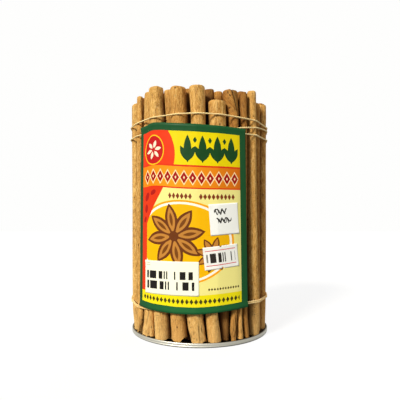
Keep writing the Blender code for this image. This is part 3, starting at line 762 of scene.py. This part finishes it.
def makeDish(d):
    # tinplate pressed to shape, its edge rolled over and seamed: bright, with fine lines round
    # it from the roller and a soft mirror of the white room
    material, tree, shader = newMaterial("rolledTinplate", Metallic=1.0, Roughness=d["roughness"])
    place = addNode(tree, "Attribute", attribute_name="turnPlace").outputs["Vector"]
    stretch = addNode(tree, "Mapping", {"Vector": place, "Scale": (0.02, 1 / d["lineGap"], 1)})
    lines = addNode(tree, "TexNoise", {"Vector": stretch, "Scale": 1.0, "Detail": 3.0})
    rough = addNode(tree, "MapRange", (lines, 0.3, 0.7, d["roughness"] - 0.06,
                                       d["roughness"] + 0.1))
    grime = addNode(tree, "Attribute", attribute_name="grime").outputs["Fac"]
    bump = addNode(tree, "Bump", {"Strength": 0.35, "Distance": 0.02 * mm, "Height": lines})
    plug(tree, shader, Base_Color=layUp(tree, d["colour"], (grime, d["grime"])), Normal=bump,
         Roughness=rough)

    # profile from the middle of the floor out, over the rolled edge, down the seam and back
    r, h, w = dishRadius, dishHeight, d["wall"]
    half, seam = w / 2, d["seamHeight"] * h
    profile = np.concatenate([
        [(0.5, d["floor"]), (r - w - 3.2, d["floor"])],
        arcPoints((r - w - 2.6, d["floor"] - 0.35), 0.35, 120, 60, 4),
        arcPoints((r - w - 0.5, d["floor"] + 0.5), 0.5, -90, 0, 5),
        arcPoints((r - half, h - half), half, 180, 0, 12),
        arcPoints((r + 0.06, seam), 0.12, 130, 230, 7),
        arcPoints((r - 0.5, 0.7), 0.5, 15, -60, 7),
        arcPoints((r - 0.8, 0.3), 0.3, 0, -90, 5),
        [(r - 2.2, 0.0), (0.5, 0.0)],
    ])[::-1]
    angle = np.radians(np.arange(d["columns"]) * 360 / d["columns"])[None, :]
    out, height = profile[:, :1], profile[:, 1:]
    rings = roundAxis(out, angle, height) + (dishShift, 0, 0)
    place = together(angle * r, alongPath(profile), 0)
    # painted shade inside the rolled edge, in the seam and under the foot, highest on the right
    reach = d["footShade"][0] + d["footShade"][1] * np.clip(1.4 * np.sin(angle), 0, 1)
    (onRim, rimReach), (inSeam, seamReach) = d["rimShade"], d["seamShade"]
    grime = inSeam * np.exp(-((height - seam) / seamReach) ** 2)
    grime = grime + np.clip(2.0 - height / reach, 0, 1)
    grime = grime + onRim * np.clip(1 + (height - h) / rimReach, 0, 1)
    grime = withPoles(rings, np.where(out > r - half, grime, d["dishFloorShade"]))
    grime[-2:] = 0
    piece = meshPiece("tinDish", tubeShape(rings), material,
                      dict(turnPlace=withPoles(rings, place), grime=grime))
    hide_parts("tin_dish")


makeDish(dish)
print("dish ready")


# twine

twine = dict(
    radius=0.43, ply=0.24, plyPitch=3.0, step=0.4, columns=12,
    light="#ffecae", shade="#dcac58", stained="#e6a748",
    lobeShare=0.6, fibreShare=0.5,  # what shades it: the lobes of the plies, and the fibres
    fuzzCount=150, fuzzLength=(0.8, 2.4), fuzzWidth=0.07,
    fuzzLift=(0.1, 0.55), fuzzSway=(-0.9, 0.9),
    knotProud=0.25, knotThick=0.38, tailProud=0.1, tailBow=0.5,  # beyond lying on the bundle
    # each tie: runs (first and last angle, rough height, keys, pitch of a second turn), knot
    # (angle, height, half sizes), tails (angle, height, drop, lean) and stain from the bark
    upper=dict(runs=((20, 540, 120, "upperFirst", 0), (180, 540, 116, "upperSecond", 0)),
               knot=(180, 120.4, (1.5, 2.2)), tails=((178, 119, 11, 3.0), (183, 118.5, 8, -2.5)),
               stain=0.1),
    lower=dict(runs=((180, 900, 20, "lowerRound", 0.85),), knot=(180, 19.4, (1.5, 1.3)),
               tails=((178, 19, 8, 4.5), (182, 19, 7, -3.0)), stain=0.38),
    # (angle, height) keys that the runs pass through, as the winding's solids do
    upperFirst=((20, 116.0), (28, 117.2), (32, 117.9), (42, 119.0), (69, 121.4), (80, 121.6),
                (180, 121.2), (230, 122.6), (280, 123.6),
                (330, 124.1), (360, 124.2), (400, 123.5), (440, 123.7), (540, 122.4)),
    upperSecond=((180, 119.9), (230, 117.9), (280, 116.6), (305, 116.4), (360, 115.0),
                 (396, 115.1), (429, 116.0), (540, 118.4)),
    lowerRound=((-90, 19.4), (-69, 18.7), (-58, 18.2), (-45, 18.4), (-30, 19.3), (0, 20.8),
                (40, 21.7), (69, 21.2), (180, 19.6), (270, 19.4), (291, 18.7)),
)


def smoothKeys(keys, angle):
    # a smooth curve through (angle, height) keys: cubic pieces that share slopes at the keys
    a, h = np.array(keys, float).T
    slope = np.gradient(h, a)
    k = np.clip(np.searchsorted(a, angle, side="right") - 1, 0, len(a) - 2)
    width = a[k + 1] - a[k]
    t = (angle - a[k]) / width
    return ((2 * t**3 - 3 * t**2 + 1) * h[k] + (t**3 - 2 * t**2 + t) * width * slope[k]
            + (3 * t**2 - 2 * t**3) * h[k + 1] + (t**3 - t**2) * width * slope[k + 1])


def twistedCord(path, out, t, start):
    # a two-ply profile carried along a path: two lobes that turn once every pitch
    along = alongPath(path)
    tangent = np.gradient(path, axis=0)
    tangent /= np.linalg.norm(tangent, axis=1, keepdims=True)
    across = np.cross(tangent, out)
    across /= np.linalg.norm(across, axis=1, keepdims=True)
    out = np.cross(across, tangent)
    psi = np.linspace(0, 2 * np.pi, t["columns"], endpoint=False)[None, :]
    twist = 2 * np.pi * along / t["plyPitch"] + start
    thick = t["radius"] * (1 + 0.06 * np.sin(along / 5.3) + 0.05 * np.sin(along / 1.9 + 1))
    radius = thick * (1 - t["ply"] + t["ply"] * np.abs(np.cos(psi - twist)) ** 0.8)
    rings = (path[:, None, :] + (radius * np.cos(psi))[..., None] * out[:, None, :]
             - (radius * np.sin(psi))[..., None] * across[:, None, :])
    return tubeShape(rings), withPoles(rings, together(psi * t["radius"], along, twist))


def makeTwineMaterial(t):
    # two plies of coconut or cotton fibre laid by hand: matt and pale, with painted shade darkening
    # the lay between the plies
    material, tree, shader = newMaterial("handLaidFibreTwine", Roughness=0.85, IOR=1.45,
                                         Sheen_Weight=0.1, Sheen_Roughness=0.5)
    place = addNode(tree, "Attribute", attribute_name="cordPlace").outputs["Vector"]
    split = addNode(tree, "SeparateXYZ", (place,))
    # lay lines follow the ply: angle round the cord minus the twist
    around = ["MULTIPLY", split.outputs["X"], 1 / t["radius"]]
    turned = addNode(tree, "Math", (around, split.outputs["Z"]), operation="SUBTRACT")
    crest = ["MULTIPLY", ["ABSOLUTE", ["COSINE", turned]], t["lobeShare"]]
    lay = addNode(tree, "CombineXYZ", (turned, split.outputs["Y"]))
    fibre = addNode(tree, "TexNoise", {"Vector": lay, "Scale": 3.0, "Detail": 4.0})
    shade = addNode(tree, "Math", (fibre, t["fibreShare"], crest), operation="MULTIPLY_ADD")
    colour = addNode(tree, "ValToRGB", (shade,), stops=((0.15, t["shade"]), (0.75, t["light"])))
    stain = addNode(tree, "Attribute", attribute_name="stain").outputs["Fac"]
    bump = addNode(tree, "Bump", {"Strength": 0.6, "Distance": 0.06 * mm, "Height": shade})
    plug(tree, shader, Base_Color=layUp(tree, colour, (stain, t["stained"])), Normal=bump)
    return material


# each path below is its points, and the way out from the bundle at each of them

def windingPath(first, last, height, keys, pitch, t):
    # laid against the sticks: radius from the line pulled tight round them at one height, and
    # its own height from the keys, which repeat every turn, a pitch higher, if there is one
    count = int((last - first) / 360 * 2 * np.pi * bundle["radius"] / t["step"])
    angle, whole = np.linspace(first, last, count), np.arange(0, 361, 1.0)
    tight = hullRadius((*frontSticks, *backRow), height, whole, t["radius"] + 0.05)
    radius, turn = np.interp(angle % 360, whole, tight), np.radians(angle)
    climb = smoothKeys(t[keys], (angle + 90) % 360 - 90 if pitch else angle)
    climb = climb + pitch * ((angle - 180) / 360 - 0.5)
    return roundAxis(radius, turn, climb), roundAxis(1, turn, 0)


def knotPath(angle, height, size, t):
    # an overhand knot: a trefoil, (sin a + 2 sin 2a, cos a - 2 cos 2a, -sin 3a), flattened on
    # the bundle
    a = np.linspace(0, 2 * np.pi, 160)
    flat = (np.sin(a) + 2 * np.sin(2 * a)) / 3 * size[0]
    up = (np.cos(a) - 2 * np.cos(2 * a)) / 3 * size[1]
    outward = bundle["radius"] + t["radius"] + t["knotProud"] - np.sin(3 * a) * t["knotThick"]
    turn = math.radians(angle) + flat / bundle["radius"]
    return roundAxis(outward, turn, height + up), roundAxis(1, turn, 0)


def tailPath(angle, height, drop, lean, t):
    # a cut end hanging from the knot and lying on the sticks
    s = np.linspace(0, 1, 30)
    turn = math.radians(angle) + lean * s**1.3 / bundle["radius"]
    radius = bundle["radius"] + t["radius"] + t["tailProud"]
    radius = radius + t["tailBow"] * np.sin(np.pi * s) * (1 - s)
    return roundAxis(radius, turn, height - drop * s), roundAxis(1, turn, 0)


def fuzzShapes(paths, draw, t):
    # stray fibres: thin three-sided tapers that leave the cord and curl
    shapes = []
    for _ in range(t["fuzzCount"]):
        path, out = paths[draw.randrange(len(paths))]
        i = draw.randrange(5, len(path) - 5)
        along = path[i + 1] - path[i - 1]
        along = along / np.linalg.norm(along) * draw.choice((-1, 1))
        side = np.cross(along, out[i])
        length = draw.uniform(*t["fuzzLength"])
        s = np.linspace(0, 1, 5)[:, None]
        lift, sway = draw.uniform(*t["fuzzLift"]), draw.uniform(*t["fuzzSway"])
        spine = (path[i] + out[i] * t["radius"] * 0.6 + s * length * along * 0.8
                 + s**1.5 * length * (lift * out[i] + sway * side))
        psi = np.radians([0, 120, 240])[None, :, None]
        ring = np.cos(psi) * out[i] + np.sin(psi) * side
        taper = t["fuzzWidth"] * (1.05 - s)[:, :, None]
        shapes.append(tubeShape(spine[:, None, :] + taper * ring))
    return shapes


def makeTwine(t):
    material = makeTwineMaterial(t)
    draw = random.Random(5)
    for name, node, tie in (("twineUpper", "twine_upper", t["upper"]),
                            ("twineLower", "twine_lower", t["lower"])):
        wound = [windingPath(*run, t) for run in tie["runs"]]
        ends = [knotPath(*tie["knot"], t), *(tailPath(*tail, t) for tail in tie["tails"])]
        cords, places = zip(*(twistedCord(path, out, t, draw.uniform(0, 6))
                              for path, out in wound + ends))
        shape = joinShapes([*cords, *fuzzShapes(wound, draw, t)])
        place, known = np.zeros(shape[0].shape), np.concatenate(places)
        place[:len(known)] = known
        stain = tie["stain"] * (1 + 0.4 * np.sin(place[:, 1] / 7))
        piece = meshPiece(name, shape, material, dict(cordPlace=place, stain=stain))
        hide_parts(node)


makeTwine(twine)
print("twine ready")


# label and stickers

label = dict(
    width=66.0, tall=100.0,
    left=(-51.5, -49.5), right=(38.4, 35.9),  # edge angles at the foot and the top
    topLine=((-50, 119.7), (-44, 119.8), (-36, 120.75), (-28, 120.4), (-21, 119.6), (-6, 118.5),
             (8, 117.8), (22, 117.5), (36, 117.4)),  # angle and height
    bottomLine=((-51.5, 19.7), (-38.5, 19.0), (-21, 18.5), (1, 18.5), (15, 19.2), (38.4, 20.4)),
    footCurl=(0.5, 5.0), topCurl=(0.4, 4.5),  # how far its edges stand off, over what height
    # how far it follows the sticks' outline, up to how many millimetres, and at what height
    radius=43.0, follow=0.6, followMost=0.8, outlineHeight=70.0,
    thickness=0.12, columns=180, rows=70,
    roughness=0.42, wear=0.004,
)
# the frame's greens: its lighter middle along the bottom and darker sides and top are painted light
# and shade over one green ink; leaf is the sprigs' print
greens = dict(left="#144a25", middle="#1e6032", top="#184f29", right="#18532a", leaf="#15421b")
browns = ("#66330f", "#bd7f35", "#74410f")
badge = (11.4, 85.6)
flower, bud = ("ring", 24.5, 40.5, 8, 10), ("ring", 45.5, 31.0, 8, 30)
sprigRow, bandRow = ("row", 28.0, 60.4, 86.9, 8.1), ("row", 4.4, 60.56, 71.6, 4.68)
# printed fields from back to front: shape, place and size in millimetres from the label's
# lower left corner, colour, and the fold that repeats it, if any
labelPrint = [
    ("box", (0, 0, 66, 100), "#e8d200"),
    ("box", (0, 9.8, 66, 66.0), "#efe58c"),
    *[("oval", (29.0, 37.6, *size, 0), colour) for size, colour in (
        ((28.4, 22.2), "#f5a300"), ((27.2, 21.2), "#f8f4e4"), ((25.8, 20.0), "#efb400"))],
    # two eight-petalled spice flowers, each petal two or three boat shapes deep
    *[("leaf", (*petal, 0), colour, fold) for petal, colour, fold in (
        ((8.8, 0, 8.5, 3.6), browns[0], flower), ((8.8, 0, 6.8, 2.2), browns[1], flower),
        ((8.8, 0, 3.7, 0.9), browns[2], flower), ((5.0, 0, 4.8, 2.0), browns[0], bud),
        ((5.0, 0, 3.8, 1.2), browns[1], bud))],
    ("oval", (*flower[1:3], 2.7, 2.7, 0), browns[0]),
    ("oval", (*bud[1:3], 1.6, 1.6, 0), browns[0]),
    ("slant", (0, 9.8, 66.0, 18.0, 65.8, 6.6, 46.5), "#da3610"),
    *[("oval", spot, "#a8160d") for spot in (
        (6.6, 60.9, 2.5, 1.4, 65), (11.4, 63.0, 2.0, 1.2, 30), (6.0, 54.6, 2.3, 1.2, 85),
        (5.0, 48.6, 1.7, 0.9, 70))],
    ("lozenge", (0, 0, 1.0, 1.7), "#7c3518", ("row", 21.0, 34.5, 61.8, 2.25)),
    ("lozenge", (0, 0, 1.0, 1.7), "#7c3518", ("row", 38.0, 58.3, 61.8, 2.25)),
    ("lozenge", (0, 0, 0.6, 0.8), "#4c3d14", ("row", 42.4, 60.4, 12.6, 1.5)),
    # orange band between two red lines, with a border of lozenges; it darkens to the right, partly
    # in the print and partly as painted shade
    ("box", (0, 65.8, 66, 78.3), "#da3410"),
    ("box", (0, 66.5, 66, 77.4), ("#ee7e08", "#f19a14", "#d3640a")),
    *[("lozenge", (0, 0, *size), colour, bandRow) for size, colour in (
        ((2.6, 4.1), "#ffe0a8"), ((2.0, 3.2), "#9c120d"), ((0.5, 0.9), "#ffe0a8"))],
    # red corner with a curved edge in the yellow panel, with a rosette
    ("corner", (0, 78.3, 100, 4.5, 83.5, 20.6), "#e63a14"),
    ("oval", (*badge, 7.0, 8.0, 0), "#fbc21a"),
    ("oval", (*badge, 6.4, 7.4, 0), "#bd1617"),
    ("leaf", (3.1, 0, 2.1, 0.95, 0), "#f1e2c8", ("ring", *badge, 6, 12)),
    # a border of sprigs, each an upright leaf between two that lean
    *[("leaf", leaf, greens["leaf"], sprigRow) for leaf in (
        (0, 0, 7.3, 2.1, 90), (-2.0, -2.6, 4.6, 1.6, 118), (2.0, -2.6, 4.6, 1.6, 62))],
    ("lozenge", (0, 0, 1.1, 1.7), greens["leaf"], ("row", 32.05, 56.4, 91.6, 8.1)),
    ("box", (0, 0, 66, 9.6), "#eadb10"),
    ("lozenge", (0, 0, 1.0, 1.5), "#403c12", ("row", 4.0, 60.4, 6.4, 2.4)),
    # green frame, its shifts of green painted light and shade
    ("box", (-1, -1, 2.6, 101), greens["left"]),
    ("box", (61.8, -1, 67, 101), greens["right"]),
    ("box", (-1, -1, 67, 3.6), (greens["left"], greens["middle"], greens["right"])),
    ("box", (-1, 96.0, 67, 101), (greens["left"], greens["top"], greens["right"])),
]


def foldPlace(tree, place, kind, *size):
    # the print's millimetres folded onto one shape of a repeated set, which has its middle at 0:
    # a row takes x modulo the pitch, and a ring the angle about its middle modulo its share of
    # the turn
    if kind == "ring":
        centreX, centreY, count, start = size
        local = addNode(tree, "Mapping", {"Vector": place, "Location": (centreX, centreY, 0),
                                          "Rotation": (0, 0, math.radians(start))},
                        vector_type="TEXTURE")
        split = addNode(tree, "SeparateXYZ", (local,)).outputs
        reach = addNode(tree, "VectorMath", (local,), operation="LENGTH").outputs["Value"]
        share = addNode(tree, "Math", (["ARCTAN2", split["Y"], split["X"]], math.pi / count,
                                       -math.pi / count), operation="WRAP")
        return addNode(tree, "CombineXYZ", [["MULTIPLY", [name, share], reach]
                                            for name in ("COSINE", "SINE")])
    left, right, middle, pitch = size
    split = addNode(tree, "SeparateXYZ", (place,)).outputs
    folded = ["FLOORED_MODULO", ["SUBTRACT", split["X"], left], pitch]
    # past the ends of the row the place is sent far away
    within = ["COMPARE", split["X"], (left + right) / 2, (right - left) / 2]
    lift = ["ADD", ["SUBTRACT", split["Y"], middle], ["MULTIPLY_ADD", within, -999.0, 999.0]]
    return addNode(tree, "CombineXYZ", (["SUBTRACT", folded, pitch / 2], lift))


def fieldMask(tree, place, kind, size):
    # the operations that give 1 inside a simple shape and 0 outside it; place is millimetres
    if kind in ("oval", "leaf", "lozenge"):
        centreX, centreY, halfLong, halfWide, *turn = size
        local = addNode(tree, "Mapping", {"Vector": place, "Location": (centreX, centreY, 0),
                                          "Rotation": (0, 0, math.radians(sum(turn))),
                                          "Scale": (halfLong, halfWide, 1)}, vector_type="TEXTURE")
        if kind == "oval":
            reach = addNode(tree, "VectorMath", (local,), operation="LENGTH").outputs["Value"]
        else:
            # a leaf is as wide as 1 - along squared, a lozenge as 1 - along
            part = addNode(tree, "VectorMath", (local,), operation="ABSOLUTE")
            part = addNode(tree, "SeparateXYZ", (part,)).outputs
            reach = ["ADD", ["POWER", part["X"], 2.0 if kind == "leaf" else 1.0], part["Y"]]
        return ["LESS_THAN", reach, 1.0]
    split = addNode(tree, "SeparateXYZ", (place,)).outputs
    x, y = split["X"], split["Y"]
    left, low, right, high = size[:4]
    inside = None
    if kind == "corner":
        # inside a circle, right of the left edge, between two heights
        left, low, high, centreX, centreY, radius = size
        inside = fieldMask(tree, place, "oval", (centreX, centreY, radius, radius))
        right = left + 2 * radius
    elif kind == "slant":
        # left of a line that slopes down to a height, and left of its foot below that
        left, low, high, topX, topY, footX, footY = size
        inside = ["LESS_THAN", x, addNode(tree, "MapRange", (y, footY, topY, footX, topX))]
        right = topX
    elif kind == "wave":
        # a pen line that loops up and down, as thick across its slope as along it
        pitch, half = size[4:]
        phase = addNode(tree, "Math", (x, 2 * math.pi / pitch), operation="MULTIPLY")
        slow = ["SINE", ["MULTIPLY", phase, 0.43]]
        phase = addNode(tree, "Math", (slow, 0.9, phase), operation="MULTIPLY_ADD")
        tall = (high - low) / 2 - half
        line = ["MULTIPLY_ADD", ["SINE", phase], tall, (high + low) / 2]
        steep = ["ABSOLUTE", ["COSINE", phase]]
        inside = ["COMPARE", y, line, ["MULTIPLY_ADD", steep, half * tall * 6 / pitch, half]]
    elif kind == "bars":
        # strips of equal width, dark or bare by a fixed random draw
        chance = addNode(tree, "TexWhiteNoise", {"W": ["FLOOR", ["DIVIDE", x, size[4]]]},
                         noise_dimensions="1D")
        inside = ["GREATER_THAN", chance, 0.45]
    both = ["MULTIPLY", ["COMPARE", x, (left + right) / 2, (right - left) / 2],
            ["COMPARE", y, (low + high) / 2, (high - low) / 2]]
    return ["MULTIPLY", both, inside] if inside else both


def printedPaper(name, base, fields, roughness, wear):
    # white coated paper printed in flat inks: even fields with crisp edges, a low sheen, and a
    # faint cloudiness where the ink took unevenly
    material, tree, shader = newMaterial(name, IOR=1.5, Specular_IOR_Level=0.12)
    uv = addNode(tree, "UVMap", uv_map="print")
    place = addNode(tree, "VectorMath", {0: uv, 3: 100.0}, operation="SCALE").outputs[0]
    colour = base
    for kind, size, code, *fold in fields:
        local = foldPlace(tree, place, *fold[0]) if fold else place
        mask = fieldMask(tree, local, kind, size)
        if not isinstance(code, str):
            # a field that fades from one colour to the next across its width
            split = addNode(tree, "SeparateXYZ", (place,))
            share = addNode(tree, "MapRange", (split.outputs["X"], size[0], size[2]))
            code = addNode(tree, "ValToRGB", (share,), stops=tuple(zip((0.0, 0.4, 1.0), code)))
        colour = layUp(tree, colour, (mask, code))
    cloud = addNode(tree, "TexNoise", {"Vector": place, "Scale": 0.35, "Detail": 5.0})
    fade = addNode(tree, "MapRange", (cloud, 0.3, 0.7, 0.0, wear))
    rough = addNode(tree, "MapRange", (cloud, 0.3, 0.7, roughness - 0.05, roughness + 0.07))
    fibres = addNode(tree, "TexNoise", {"Vector": place, "Scale": 2.2, "Detail": 3.0})
    bump = addNode(tree, "Bump", {"Strength": 0.25, "Distance": 0.03 * mm, "Height": fibres})
    plug(tree, shader, Base_Color=layUp(tree, colour, (fade, "#fbf6e4")), Normal=bump,
         Roughness=rough)
    return material


def paperPiece(name, node, place, prints, thickness, material):
    # a thin sheet from grids of radius, angle and height, given its thickness outwards
    radius, angle, height = place
    grid = roundAxis(radius, np.radians(angle), height)
    shape = grid.reshape(-1, 3), gridQuads(*grid.shape[:2], False)
    piece = meshPiece(name, shape, material, prints=prints.reshape(-1, 2))
    wall = piece.modifiers.new("thickness", "SOLIDIFY")
    wall.thickness = thickness * mm
    wall.offset = 1.0
    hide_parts(node)


def labelRadius(angle):
    # a steady radius plus a share of the sticks' outline under it
    around, most = np.arange(-180, 181, 1.0), label["followMost"]
    hull = hullRadius((*frontSticks, *backRow), label["outlineHeight"], around, 0)
    hull = np.interp(angle, around, hull - hull[(around > -55) & (around < 45)].mean())
    return label["radius"] + label["follow"] * np.clip(hull, -most, most)


def gridShares(rows, columns):
    # how far up and how far along each point of a grid is, 0 to 1
    return np.meshgrid(np.linspace(0, 1, rows), np.linspace(0, 1, columns), indexing="ij")


def makeLabel(b):
    v, u = gridShares(b["rows"], b["columns"])
    left, right = (foot + (top - foot) * v for foot, top in (b["left"], b["right"]))
    angle = left + (right - left) * u
    top, bottom = (smoothKeys(b[line], angle) for line in ("topLine", "bottomLine"))
    height = bottom + (top - bottom) * v
    # its lower and upper edges stand off the twine a little
    curl = sum(size * np.clip(1 - share * b["tall"] / reach, 0, 1) ** 2
               for share, (size, reach) in ((v, b["footCurl"]), (1 - v, b["topCurl"])))
    prints = together(u * b["width"], v * b["tall"])
    material = printedPaper("coatedPrintedPaper", greens["left"], labelPrint, b["roughness"],
                            b["wear"])
    place = (labelRadius(angle) + curl, angle, height)
    paperPiece("labelSheet", "label", place, prints, b["thickness"], material)


makeLabel(label)
print("label ready")

stickers = dict(
    proud=0.16, thickness=0.08, columns=60, rows=24, roughness=0.55, wear=0.0,
    wide=dict(node="sticker_wide", angle=-21.8, height=36.9, width=32.8, tall=18.0, tilt=0.0,
              paper="#f7f6df", notch=0.0, fields=[
                  ("bars", (0.9, 8.4, 30.4, 12.6, 0.78), "#1a1715"),
                  ("bars", (0.9, 2.8, 30.4, 7.2, 0.83), "#1a1715"),
                  ("box", (1.0, 15.4, 4.4, 15.7), "#b9b290"),
                  ("box", (1.0, 16.6, 4.0, 16.9), "#b9b290"),
              ]),
    square=dict(node="sticker_square", angle=18.4, height=68.4, width=16.4, tall=16.6, tilt=4.2,
                paper="#f4f5ef", notch=0.0, fields=[("wave", line, "#1f1b19") for line in (
                    (2.6, 11.4, 9.8, 14.0, 3.1, 0.24), (3.0, 10.8, 8.8, 13.2, 2.3, 0.2),
                    (3.6, 6.8, 12.2, 9.2, 2.9, 0.24), (4.4, 6.2, 10.8, 8.6, 2.2, 0.2))]),
    small=dict(node="sticker_small", angle=16.2, height=48.3, width=19.4, tall=12.0, tilt=6.2,
               paper="#f1f1ea", notch=0.9, fields=[
                   ("box", (1.0, 9.7, 18.0, 10.1), "#d0303a"),
                   ("box", (1.0, 1.9, 18.0, 2.3), "#d0303a"),
                   ("bars", (3.4, 3.4, 17.6, 8.4, 0.6), "#2c2824"),
                   ("box", (1.4, 3.8, 2.3, 8.2), "#8a8680"),
               ]),
)


def makeSticker(name, s, common):
    # a tilted rectangle on the label; a price-gun sticker has small cuts in its long edges
    v, u = gridShares(common["rows"], common["columns"])
    x, y = (u - 0.5) * s["width"], (v - 0.5) * s["tall"]
    cut = np.clip(1 - np.abs(x) / 0.8, 0, 1) * s["notch"]
    y = y - np.sign(y) * cut * np.clip(np.abs(2 * v - 1) * 1.6 - 0.6, 0, 1)
    turn = math.radians(s["tilt"])
    along = x * math.cos(turn) - y * math.sin(turn)
    up = x * math.sin(turn) + y * math.cos(turn)
    angle, height = s["angle"] + np.degrees(along / label["radius"]), s["height"] + up
    # its corners lift a little
    corner = np.clip(np.hypot(u - 0.5, v - 0.5) - 0.55, 0, 1) * 1.2
    radius = labelRadius(angle) + common["proud"] + corner
    prints = together(x + s["width"] / 2, y + s["tall"] / 2)
    material = printedPaper(name + "StickerPaper", s["paper"], s["fields"], common["roughness"],
                            common["wear"])
    paperPiece(name + "Sticker", s["node"], (radius, angle, height), prints,
               common["thickness"], material)


for name in ("wide", "square", "small"):
    makeSticker(name, stickers[name], stickers)
print("stickers ready")
